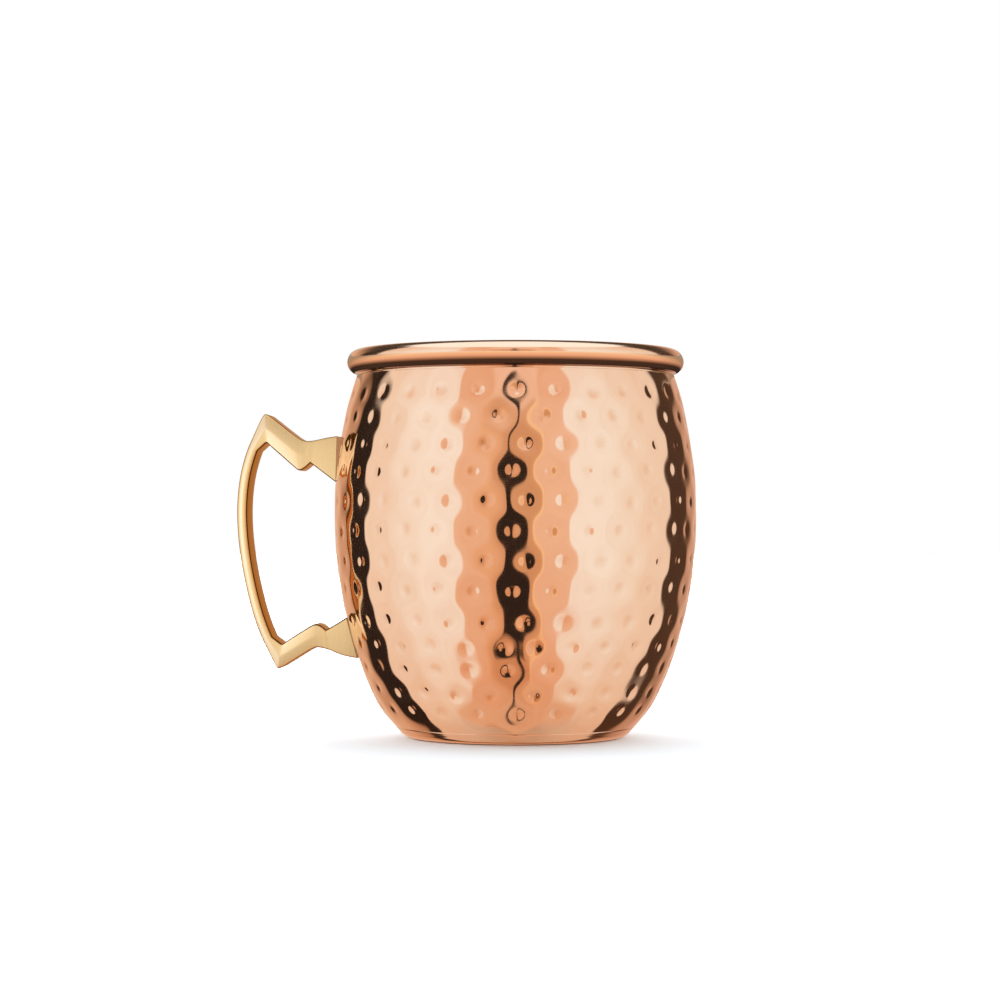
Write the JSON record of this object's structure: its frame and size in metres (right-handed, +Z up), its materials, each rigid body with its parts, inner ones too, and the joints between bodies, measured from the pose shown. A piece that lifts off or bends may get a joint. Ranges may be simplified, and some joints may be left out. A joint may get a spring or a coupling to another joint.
{
  "type": "hammered copper mug",
  "caption": "Barrel-shaped hammered copper mug with a rolled rim, a lapped flat base and an angular cast brass handle, held by solder and inside rivets.",
  "frame": {"origin": "on the cup's axis, in the plane that the mug stands on", "axes": "+Z up along the cup's axis, -X towards the handle, +Y completes a right-handed frame"},
  "size_m": [0.1183, 0.093, 0.1],
  "materials": {
    "hammered_copper": "polished hammered copper, clear-lacquered",
    "plain_copper": "polished copper",
    "cast_brass": "satin brushed cast brass with polished edges",
    "solder": "smooth brazing alloy"
  },
  "bodies": {
    "root": {"body_wall": "hammered_copper", "base_pan": "plain_copper", "base_solder_ring": "solder", "handle": "cast_brass", "upper_foot_solder": "solder", "lower_foot_solder": "solder", "upper_rivet": "plain_copper", "lower_rivet": "plain_copper"}
  },
  "joints": []
}
